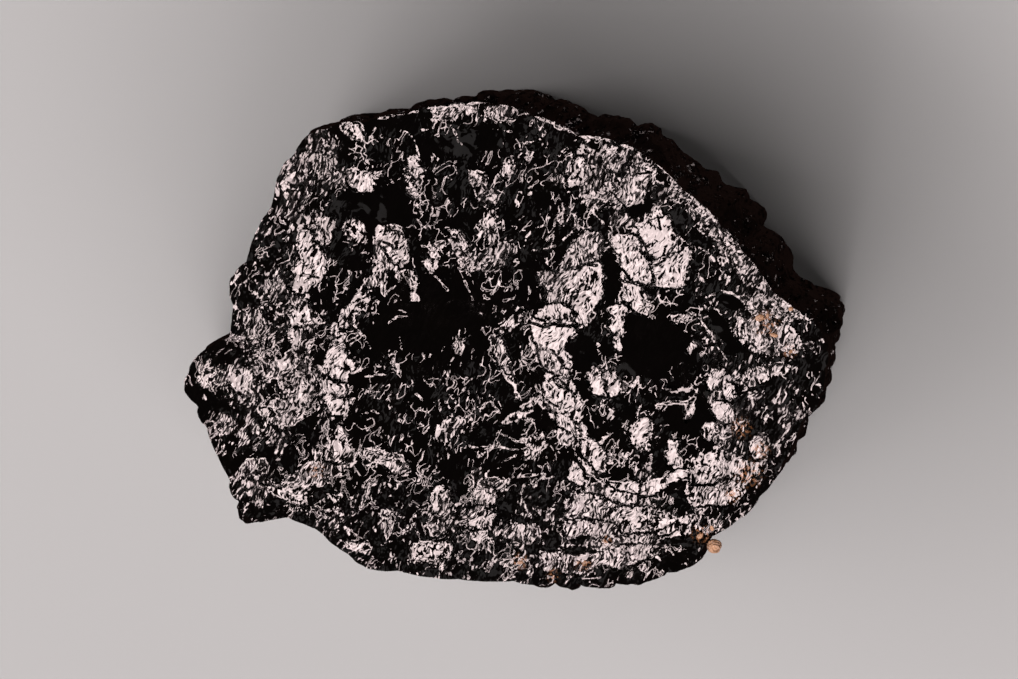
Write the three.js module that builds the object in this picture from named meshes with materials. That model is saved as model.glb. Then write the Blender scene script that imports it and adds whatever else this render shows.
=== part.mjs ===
// Schorl: a stubby length of a thick black tourmaline crystal, broken across at both ends.
// It stands on its flat lower break, with the ribbed prism sides upright and the rough,
// shell-like fracture face on top. A grain of iron-stained feldspar clings below the rim.
// Millimetres, +Z up. The origin is the centre of the footprint, on the surface it stands on.
import * as THREE from "three";

// ---- Driving dimensions ----
const FACE_LEVEL = 36; // height of the fracture face before its relief
const RIB_COUNT = 44; // ribs, or striations, round the prism
const RIB_HEIGHT = [0.25, 1.05]; // least and greatest height of a rib
const RIB_WIDTH_SPREAD = 0.55; // how far a rib's width strays from the mean, as a share of it
const FACE_RINGS = 24; // rings of the mesh over the fracture face
const BASE_RINGS = 6; // rings of the mesh under the base
const SIDE_LEVELS = [0, 0.04, 0.12, 0.23, 0.34, 0.44, 0.53, 0.62, 0.71, 0.8, 0.9, 1]; // shares of height
const CONTACT_RADIUS = 9; // the base is flat at least this far from its centre
const NORTH_WEST_LEAN = 0.9; // how far the foot stands back on the north-west side
const FOOT_CHIP = 1.4; // greatest depth of the chips round the lower edge
const BASE_SCAR = 1.6; // greatest depth of the scars in the lower break, about
// The feldspar grain: half sizes, its gap to the crystal, its drop below the rim, the direction
// it faces, and the depth and half width of the groove that it sits at the head of.
const GRAIN = { radial: 0.6, along: 0.75, high: 0.55, gap: 0.3, below: 0.4, at: 313 };
const GROOVE = { deep: 0.9, wide: 1.1 };

// The rim of the fracture face, anticlockwise from the east corner: [x, y].
const RIM = [
  [27.9, -1.1], [26.9, 1.2], [24.6, 2.8], [22.5, 4.7], [19.5, 8.9], [15.8, 12.5],
  [12.4, 15.7], [10.0, 17.1], [5.5, 18.1], [3.0, 19.2], [-0.5, 20.5], [-4.0, 21.0],
  [-8.2, 20.5], [-13.8, 19.4], [-18.5, 18.3], [-20.4, 16.5], [-21.8, 14.9], [-22.4, 12.5],
  [-24.1, 9.2], [-25.2, 6.4], [-26.4, 4.6], [-26.5, 2.0], [-26.6, -0.4], [-28.3, -1.3],
  [-30.2, -2.8], [-31.2, -5.3], [-30.0, -7.2], [-28.9, -9.8], [-27.6, -12.3], [-26.0, -16.2],
  [-23.9, -17.9], [-22.3, -17.1], [-18.7, -18.5], [-17.0, -19.9], [-14.3, -21.6], [-11.0, -22.2],
  [-7.0, -22.8], [-0.5, -23.0], [6.4, -23.2], [10.5, -22.9], [13.2, -22.2], [16.9, -20.1],
  [19.1, -17.7], [21.2, -16.0], [22.7, -13.8], [24.2, -11.5], [25.2, -8.8], [26.7, -6.8],
  [27.7, -4.7],
];

// Round-ended side ribs that stop below the rim, and broad swellings of the side:
// at is the direction they face, in degrees from +X, wide is half their width, out how far they
// stand proud, top the height of their end and dome the depth of its rounding.
const SIDE_LOBES = [
  { at: 2, wide: 1.9, out: 1.7, top: 27, dome: 4 },
  { at: 14, wide: 4.0, out: 0.8, top: 29, dome: 6 },
  { at: 28, wide: 2.3, out: 1.4, top: 26, dome: 4 },
  { at: 42, wide: 2.4, out: 0.4, top: 23, dome: 4 },
  { at: 56, wide: 2.4, out: 0.9, top: 28, dome: 4 },
  { at: 69, wide: 2.4, out: 0.5, top: 25, dome: 4 },
  { at: 89, wide: 6.0, out: 0.6, top: 31, dome: 9 },
  { at: 148, wide: 4.2, out: 1.2, top: 22, dome: 7 },
  { at: 189, wide: 3.0, out: 1.2, top: 19, dome: 5 },
  { at: 215, wide: 2.4, out: 1.6, top: 27, dome: 4 },
  { at: 251, wide: 5.5, out: 1.1, top: 20, dome: 7 },
  { at: 292, wide: 3.4, out: 1.3, top: 17, dome: 5 },
  { at: 334, wide: 3.2, out: 0.5, top: 15, dome: 5 },
];

// The face as a whole: a slight dome that drops towards its rim, gentle swells, and the sizes of
// shell-shaped chips that cover it, with how steep they are.
const DOME = { drop: 0.5, from: 0.55, to: 1.1, halfLength: 29, halfWidth: 23 };
const SWELLS = { high: 0.25, size: 6 };
const SHELLS = [
  { size: 3.8, steep: 0.2, lean: 0.8 },
  { size: 1.9, steep: 0.12, lean: 0.8 },
];

// Margins of the fracture face that fall away: the direction each falls in, how far from the
// centre it starts, how steeply it falls and how broadly it rounds over. The west margin is
// steepest in the south and eases off to the north.
const MARGINS = [
  { name: "west margin", toward: 180, starts: 15.5, fall: 0.24, round: 3, northFall: 0.04 },
  { name: "south margin", toward: 270, starts: 13.2, fall: 0.25, round: 3 },
  { name: "north margin", toward: 90, starts: 9.5, fall: 0.1, round: 2 },
  { name: "north-east bevel", toward: 39, starts: 20.3, fall: 0.38, round: 1.2 },
];
const NORTH_EASES = [-0.5, 5.5]; // y between which a margin goes from its fall to its northFall

// Hollows in the fracture face: centre, half length, half width, turn in degrees and depth.
// Each floor rises gently to the north-east and stops at a steep wall in the south-west.
const HOLLOWS = [
  { name: "west basin", x: -8.6, y: -0.6, long: 7.4, wide: 7.0, turn: 0, deep: 1.3 },
  { name: "east pit", x: 12.3, y: -1.4, long: 4.4, wide: 4.1, turn: 0, deep: 1.3 },
  { name: "south-east pit", x: 15.5, y: -7.2, long: 3.3, wide: 2.7, turn: 0, deep: 1.0 },
  { name: "centre slot", x: 6.4, y: -2.9, long: 3.4, wide: 1.6, turn: 90, deep: 0.8 },
  { name: "north dish", x: 2.3, y: 10.3, long: 4.6, wide: 2.8, turn: 10, deep: 0.6 },
  { name: "west notch", x: -22.7, y: 4.4, long: 2.5, wide: 1.7, turn: 0, deep: 0.6 },
  { name: "north slot", x: 8.4, y: 5.3, long: 4.0, wide: 1.3, turn: 90, deep: 0.9 },
  { name: "north-east pit", x: 17.5, y: 6.2, long: 3.0, wide: 2.4, turn: 90, deep: 0.9 },
  { name: "south trough", x: -1.4, y: -11.0, long: 5.5, wide: 1.9, turn: 0, deep: 0.7 },
  { name: "south-west socket", x: -22.8, y: -11.0, long: 1.7, wide: 1.5, turn: 0, deep: 0.8 },
  { name: "north-west dish", x: -12.5, y: 12.0, long: 5.0, wide: 4.0, turn: 0, deep: 0.7 },
  { name: "south-east notch", x: 14.5, y: -19.5, long: 3.6, wide: 0.9, turn: 15, deep: 0.5 },
];

// Raised crests of the fracture face, in the same terms.
const CRESTS = [
  { name: "centre crest", x: 3.6, y: 0.6, long: 6.5, wide: 2.2, turn: 104, high: 0.5 },
  { name: "north-east block", x: 12.2, y: 8.6, long: 4.2, wide: 3.2, turn: 45, high: 0.5 },
  { name: "west shoulder", x: -18.3, y: 4.5, long: 5.8, wide: 2.8, turn: 75, high: 0.15 },
];

// Ledges left flat by the break: centre, half length and width, turn, the direction each leans
// down towards and how steeply.
const LEDGES = [
  { x: 12.0, y: 7.1, long: 2.9, wide: 2.3, turn: 20, down: 240, lean: 0.36 },
  { x: -19.3, y: 6.2, long: 2.5, wide: 1.3, turn: 65, down: 200, lean: 0.38 },
  { x: 6.4, y: 4.5, long: 2.8, wide: 1.3, turn: 75, down: 200, lean: 0.36 },
  { x: 3.2, y: 0.5, long: 1.9, wide: 1.6, turn: 0, down: 205, lean: 0.4 },
  { x: 3.8, y: -5.7, long: 1.9, wide: 1.6, turn: -60, down: 205, lean: 0.38 },
  { x: 7.1, y: -10.5, long: 2.0, wide: 1.1, turn: -60, down: 215, lean: 0.42 },
  { x: 17.1, y: -13.2, long: 2.3, wide: 1.9, turn: 0, down: 280, lean: 0.4 },
  { x: 11.6, y: -13.8, long: 3.2, wide: 1.0, turn: 12, down: 285, lean: 0.36 },
  { x: 7.5, y: -16.5, long: 3.3, wide: 1.6, turn: 10, down: 285, lean: 0.4 },
  { x: -16.2, y: -4.7, long: 2.8, wide: 1.1, turn: 80, down: 205, lean: 0.4 },
  { x: -19.9, y: -6.8, long: 1.9, wide: 1.4, turn: 0, down: 205, lean: 0.42 },
  { x: -25.5, y: -4.5, long: 1.6, wide: 1.1, turn: 50, down: 195, lean: 0.42 },
  { x: -18.9, y: -13.5, long: 2.1, wide: 1.1, turn: 25, down: 275, lean: 0.42 },
  { x: 5.1, y: 14.2, long: 1.6, wide: 0.9, turn: 80, down: 200, lean: 0.38 },
  { x: -11.1, y: 7.1, long: 1.7, wide: 1.4, turn: 90, down: 200, lean: 0.36 },
  { x: -2.7, y: -16.3, long: 1.9, wide: 1.1, turn: 60, down: 280, lean: 0.4 },
];

// ---- Repeatable chance and noise ----
function chance(i, j, seed) {
  let h = Math.imul(i, 0x27d4eb2d) ^ Math.imul(j, 0x165667b1) ^ Math.imul(seed, 0x9e3779b1);
  h = Math.imul(h ^ (h >>> 15), 0x85ebca6b);
  h = Math.imul(h ^ (h >>> 13), 0xc2b2ae35);
  return ((h ^ (h >>> 16)) >>> 0) / 4294967296;
}

function smooth(from, to, value) {
  const t = THREE.MathUtils.clamp((value - from) / (to - from), 0, 1);
  return t * t * (3 - 2 * t);
}

// Smooth noise between about -1 and 1, with features one unit across.
function noise(x, y, seed) {
  const i = Math.floor(x);
  const j = Math.floor(y);
  const u = smooth(0, 1, x - i);
  const v = smooth(0, 1, y - j);
  const low = THREE.MathUtils.lerp(chance(i, j, seed), chance(i + 1, j, seed), u);
  const high = THREE.MathUtils.lerp(chance(i, j + 1, seed), chance(i + 1, j + 1, seed), u);
  return 2 * THREE.MathUtils.lerp(low, high, v) - 1;
}

// Where many shallow bowls of about this size meet, they leave sharp crests between them,
// as shells do where they have been struck from glassy stone. Returns the floor's height.
function shells(x, y, { size, steep, lean }, seed) {
  const warp = 0.25 * size;
  const px = (x + warp * noise(x / size, y / size, seed + 1)) / size;
  const py = (y + warp * noise(x / size, y / size, seed + 2)) / size;
  const i = Math.floor(px);
  const j = Math.floor(py);
  let floor = Infinity;
  for (let di = -1; di <= 1; di++) {
    for (let dj = -1; dj <= 1; dj++) {
      const a = i + di;
      const b = j + dj;
      const dx = px - a - 0.1 - 0.8 * chance(a, b, seed + 3);
      const dy = py - b - 0.1 - 0.8 * chance(a, b, seed + 4);
      const leanX = lean * (chance(a, b, seed + 5) - 0.5);
      const leanY = lean * (chance(a, b, seed + 6) - 0.5);
      const depth = 0.3 * (chance(a, b, seed + 7) - 0.5);
      floor = Math.min(floor, dx * dx + dy * dy + leanX * dx + leanY * dy + depth);
    }
  }
  return steep * size * floor;
}

// ---- The upper fracture face ----
// 1 at the middle of a feature, falling to 0 past its ellipse.
function within(feature, x, y) {
  const turn = THREE.MathUtils.degToRad(feature.turn);
  const dx = x - feature.x;
  const dy = y - feature.y;
  const u = (dx * Math.cos(turn) + dy * Math.sin(turn)) / feature.long;
  const v = (dy * Math.cos(turn) - dx * Math.sin(turn)) / feature.wide;
  return Math.exp(-((u * u + v * v) ** 1.5));
}

// How far a point is past a line, rounded off where the line is crossed.
function past(distance, round) {
  return (distance + Math.hypot(distance, round)) / 2;
}

function marginDrop(margin, x, y) {
  const toward = THREE.MathUtils.degToRad(margin.toward);
  const out = x * Math.cos(toward) + y * Math.sin(toward) - margin.starts;
  const north = smooth(...NORTH_EASES, y);
  const fall = THREE.MathUtils.lerp(margin.fall, margin.northFall ?? margin.fall, north);
  return fall * past(out, margin.round);
}

// A hollow is deepest towards the south-west: 1 at that wall, 0.2 where the floor runs out.
function hollowDrop(hollow, x, y) {
  const northEast = (x - hollow.x + y - hollow.y) / (hollow.long + hollow.wide);
  return hollow.deep * within(hollow, x, y) * (0.6 - 0.4 * northEast);
}

function brokenGround(x, y) {
  const reach = Math.hypot(x / DOME.halfLength, y / DOME.halfWidth);
  let z = FACE_LEVEL - DOME.drop * smooth(DOME.from, DOME.to, reach);
  for (const margin of MARGINS) z -= marginDrop(margin, x, y);
  for (const hollow of HOLLOWS) z -= hollowDrop(hollow, x, y);
  for (const crest of CRESTS) z += crest.high * within(crest, x, y);
  return z + SWELLS.high * noise(x / SWELLS.size, y / SWELLS.size, 11);
}

function faceHeight(x, y) {
  let z = brokenGround(x, y);
  SHELLS.forEach((kind, n) => {
    z += shells(x, y, kind, 20 * (n + 1));
  });
  for (const ledge of LEDGES) {
    const down = THREE.MathUtils.degToRad(ledge.down);
    const fall = (x - ledge.x) * Math.cos(down) + (y - ledge.y) * Math.sin(down);
    const flat = brokenGround(ledge.x, ledge.y) - ledge.lean * fall;
    z = THREE.MathUtils.lerp(z, flat, within(ledge, x, y));
  }
  return z;
}

// ---- The lower break: flat lands that carry the crystal, with shallow scars between ----
function baseHeight(x, y) {
  const scar = noise(x / 7, y / 7, 61) + 0.4 * noise(x / 3, y / 3, 62) - 0.15;
  const clear = smooth(CONTACT_RADIUS, CONTACT_RADIUS + 4, Math.hypot(x, y));
  return clear * BASE_SCAR * Math.max(0, scar);
}

// ---- The ribbed side ----
const rim = new THREE.CatmullRomCurve3(
  RIM.map(([x, y]) => new THREE.Vector3(x, y, 0)),
  true,
  "centripetal",
);
rim.arcLengthDivisions = 2000;
const GIRTH = rim.getLength();

// Stations round the prism: four to a rib, at its groove, two shoulders and crest.
function makeStations() {
  const across = [[0, 0], [0.2, 0.8], [0.5, 1], [0.8, 0.8]]; // share of the width, of the height
  const widths = [];
  for (let n = 0; n < RIB_COUNT; n++) {
    widths.push(1 + RIB_WIDTH_SPREAD * (2 * chance(n, 0, 7) - 1));
  }
  const total = widths.reduce((sum, width) => sum + width, 0);
  const stations = [];
  let start = 0;
  widths.forEach((width, n) => {
    const high = THREE.MathUtils.lerp(RIB_HEIGHT[0], RIB_HEIGHT[1], chance(n, 1, 7));
    for (const [share, rise] of across) {
      stations.push({ u: (start + share * width) / total, rise: rise * high });
    }
    start += width;
  });
  return stations;
}

const STATIONS = makeStations();

// The angle from a direction, in degrees from +X, round to a point, between -PI and PI.
function bearing(point, degrees) {
  const at = THREE.MathUtils.degToRad(degrees);
  return Math.atan2(
    point.y * Math.cos(at) - point.x * Math.sin(at),
    point.x * Math.cos(at) + point.y * Math.sin(at),
  );
}

// The same as a distance along the side.
function offset(point, degrees) {
  return bearing(point, degrees) * Math.hypot(point.x, point.y);
}

// How far a side lobe pushes the side out at a point of the rim's line and a height.
function lobeOut(lobe, point, z) {
  const across = offset(point, lobe.at) / lobe.wide;
  const above = Math.max(0, (z - lobe.top + lobe.dome) / lobe.dome);
  return lobe.out * Math.sqrt(Math.max(0, 1 - across * across - above * above));
}

// A point of the side, at a station and a share of the height from base to rim.
function sidePoint({ u, rise }, share) {
  const line = rim.getPointAt(u);
  const along = u * GIRTH;
  const rimRise = 0.45 * rise - 0.2;
  const rimPoint = line.clone().multiplyScalar(1 + rimRise / line.length());
  const top = faceHeight(rimPoint.x, rimPoint.y);
  const chip = FOOT_CHIP * Math.max(0, noise(along / 5, 0, 51));
  const z = THREE.MathUtils.lerp(0.6 * chip, top, share);
  let out = THREE.MathUtils.lerp(rise, rimRise, smooth(0.8, 1, share));
  for (const lobe of SIDE_LOBES) out += lobeOut(lobe, line, z);
  out += 0.4 * noise(along / 9, z / 14, 52) * smooth(1, 0.85, share);
  out -= chip * (1 - smooth(0, 0.15, share));
  out -= NORTH_WEST_LEAN * (1 - share) * Math.max(0, Math.sin(bearing(line, 30)));
  out -= GROOVE.deep * Math.exp(-((offset(line, GRAIN.at) / GROOVE.wide) ** 2));
  return line.multiplyScalar(1 + out / line.length()).setZ(z);
}

// ---- Meshing ----
// Rings of points, from a centre point outwards or from ring to ring, are sewn with triangles.
class Skin {
  constructor() {
    this.points = [];
    this.faces = [];
  }

  addRing(places) {
    return places.map(({ u, point }) => {
      this.points.push(point.x, point.y, point.z);
      return { u, index: this.points.length / 3 - 1 };
    });
  }

  // Joins two closed rings, whose points run round in the order of u.
  sew(inner, outer, flip) {
    const next = (ring, n) => (n + 1 < ring.length ? ring[n + 1].u : ring[0].u + 1);
    let i = 0;
    let o = 0;
    while (i < inner.length || o < outer.length) {
      const a = inner[i % inner.length].index;
      const b = outer[o % outer.length].index;
      const stepOut = i >= inner.length || (o < outer.length && next(outer, o) <= next(inner, i));
      const c = stepOut
        ? outer[(o + 1) % outer.length].index
        : inner[(i + 1) % inner.length].index;
      this.faces.push(...(flip ? [a, c, b] : [a, b, c]));
      if (stepOut) o += 1;
      else i += 1;
    }
  }

  // Fills an outer ring with smaller rings down to one centre point.
  fill(outer, edgeAt, rings, heightAt, flip) {
    let last = outer;
    for (let n = rings - 1; n >= 1; n--) {
      const share = n / rings;
      const count = Math.max(6, Math.round(outer.length * share));
      const places = [];
      for (let k = 0; k < count; k++) {
        const point = edgeAt(k / count).multiplyScalar(share);
        places.push({ u: k / count, point: point.setZ(heightAt(point.x, point.y)) });
      }
      const ring = this.addRing(places);
      this.sew(ring, last, flip);
      last = ring;
    }
    this.points.push(0, 0, heightAt(0, 0));
    const centre = this.points.length / 3 - 1;
    last.forEach(({ index }, k) => {
      const after = last[(k + 1) % last.length].index;
      this.faces.push(...(flip ? [centre, after, index] : [centre, index, after]));
    });
  }

  geometry() {
    const made = new THREE.BufferGeometry();
    made.setAttribute("position", new THREE.Float32BufferAttribute(this.points, 3));
    made.setIndex(this.faces);
    made.computeVertexNormals();
    return made;
  }
}

// The edge of an end face at any u, between the stations either side of it.
function edgeBetweenStations(share) {
  const places = STATIONS.map((station) => sidePoint(station, share));
  return (u) => {
    let n = STATIONS.length - 1;
    while (n > 0 && STATIONS[n].u > u) n -= 1;
    const after = (n + 1) % STATIONS.length;
    const end = after ? STATIONS[after].u : 1;
    const t = (u - STATIONS[n].u) / (end - STATIONS[n].u);
    return places[n].clone().lerp(places[after], t);
  };
}

function crystalGeometry() {
  const skin = new Skin();
  const rings = SIDE_LEVELS.map((share) =>
    skin.addRing(STATIONS.map((station) => ({ u: station.u, point: sidePoint(station, share) }))),
  );
  for (let n = 1; n < rings.length; n++) skin.sew(rings[n], rings[n - 1], false);
  skin.fill(rings.at(-1), edgeBetweenStations(1), FACE_RINGS, faceHeight, false);
  skin.fill(rings[0], edgeBetweenStations(0), BASE_RINGS, baseHeight, true);
  return skin.geometry();
}

// ---- The feldspar grain, seated on the side just below the south-east rim ----
function grainMesh(material) {
  const away = (point) => Math.abs(bearing(point, GRAIN.at));
  const edge = STATIONS.map((station) => sidePoint(station, 1)).reduce(
    (best, point) => (away(point) < away(best) ? point : best),
  );
  const shape = new THREE.IcosahedronGeometry(1, 1);
  shape.scale(GRAIN.radial, GRAIN.along, GRAIN.high);
  const mesh = new THREE.Mesh(shape, material);
  mesh.name = "feldspar_grain";
  mesh.rotation.z = Math.atan2(edge.y, edge.x);
  mesh.position.copy(edge).setZ(0);
  mesh.position.setLength(mesh.position.length() + GRAIN.gap + GRAIN.radial);
  mesh.position.z = edge.z - GRAIN.below;
  return mesh;
}

function buildSchorl() {
  const black = new THREE.MeshStandardMaterial({ color: 0x0b0d0c, roughness: 0.14, metalness: 0 });
  const tan = new THREE.MeshStandardMaterial({ color: 0xb08a5e, roughness: 0.6, metalness: 0 });
  const crystal = new THREE.Mesh(crystalGeometry(), black);
  crystal.name = "schorl_crystal";
  const group = new THREE.Group();
  group.add(crystal, grainMesh(tan));
  const box = new THREE.Box3().setFromObject(group);
  group.position.set(-(box.min.x + box.max.x) / 2, -(box.min.y + box.max.y) / 2, -box.min.z);
  return group;
}

export default buildSchorl();
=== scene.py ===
"""Schorl (black tourmaline): the looks of one broken crystal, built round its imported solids.

The prism stands on its lower break. Its upper break is a rough, glassy fracture face: flat
facets that lean west and south and catch the lights, broken-up margins, and dark dished ground
with thin threads of glass between them. The crystal is one closed mesh, taken from the CAD solid
and given relief here. Lengths are millimetres until a mesh is made, and then metres.
"""

import math
from collections import namedtuple

import bmesh
import bpy
import numpy as np
from mathutils import Matrix, Vector
from mathutils.bvhtree import BVHTree


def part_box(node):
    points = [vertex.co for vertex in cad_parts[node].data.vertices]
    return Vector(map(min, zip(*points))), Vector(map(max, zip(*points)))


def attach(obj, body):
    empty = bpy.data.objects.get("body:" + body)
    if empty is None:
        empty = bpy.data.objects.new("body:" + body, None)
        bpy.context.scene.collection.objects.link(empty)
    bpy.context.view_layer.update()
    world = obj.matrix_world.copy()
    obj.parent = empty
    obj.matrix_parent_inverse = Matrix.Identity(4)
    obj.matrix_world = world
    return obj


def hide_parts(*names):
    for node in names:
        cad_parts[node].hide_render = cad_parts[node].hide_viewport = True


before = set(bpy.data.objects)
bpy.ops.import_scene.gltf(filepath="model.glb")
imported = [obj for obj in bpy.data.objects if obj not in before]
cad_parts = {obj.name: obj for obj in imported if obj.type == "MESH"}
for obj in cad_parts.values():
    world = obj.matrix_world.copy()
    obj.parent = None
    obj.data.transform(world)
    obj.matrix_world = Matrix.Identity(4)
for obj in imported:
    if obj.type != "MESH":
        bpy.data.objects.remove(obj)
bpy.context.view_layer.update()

MM = 0.001  # one millimetre in metres

# ---- Driving values ----
AXIS = np.array([1.579, 1.664])  # where the prism's axis stands in the frame
STATIONS = 880  # points round the prism
FACE_RINGS = 150  # rings of points over the fracture face
BASE_RINGS = 24  # rings under the base, the outermost with BASE_STATIONS points
BASE_STATIONS = 300
SIDE_SHARES = (0, 0.008, 0.02, 0.04, 0.07, 0.105, *((14 + 4 * n) / 100 for n in range(21)), 0.97,
               0.988, 1)  # levels up the side, as shares of its height
GRID_STEP = 0.4  # spacing of the heights read from the CAD's end faces
GRID_REACH = 34  # how far from the axis those heights reach
FACE_SOFTEN = 1.8  # the CAD's triangles are smoothed over this distance
RIB_SOFTEN = 0.25  # and its ribs over this one
CONTACT_RADIUS = 9  # the base is flat within this distance of the middle
CONTACT_FADE = 4  # and turns rough over this distance beyond it
RIM_HEIGHT = 34.0  # where the ribs of the side are read for the rim
RIM_RIBS = 0.25  # share of those ribs that the rim takes up
RIM_INSET = 0.05  # how far the rim is drawn in
RAY_START = 100  # rays at the end faces start this far out
SIDE_RAY_START = 60  # and those at the side this far
DRAWN_REACH = 1.2  # drawn facets and lines reach no further than this
CREASE = math.radians(38)  # sharper mesh edges are shaded as edges


# ---- Places on the fracture face ----
# In millimetres east and north of the axis. A semicolon ends a row of a table, a comma ends a
# group of its numbers, and a colon parts a facet's settings from its outline.
def numbers(text):
    return [tuple(float(number) for number in group.split()) for group in text.split(",")]


def features(text, kind):
    """One feature for each row of text."""
    return [kind(*numbers(row)[0]) for row in text.split(";")]


def lines(text):
    """One line of points for each row of text."""
    return [numbers(row) for row in text.split(";")]


# Facets: the direction that each leans down towards in degrees from east, its slope, how hackly
# it is and its outline.
Facet = namedtuple("Facet", "down slope hackle outline")


def facet(row):
    settings, outline = row.split(":")
    return Facet(*numbers(settings)[0], numbers(outline))


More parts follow.
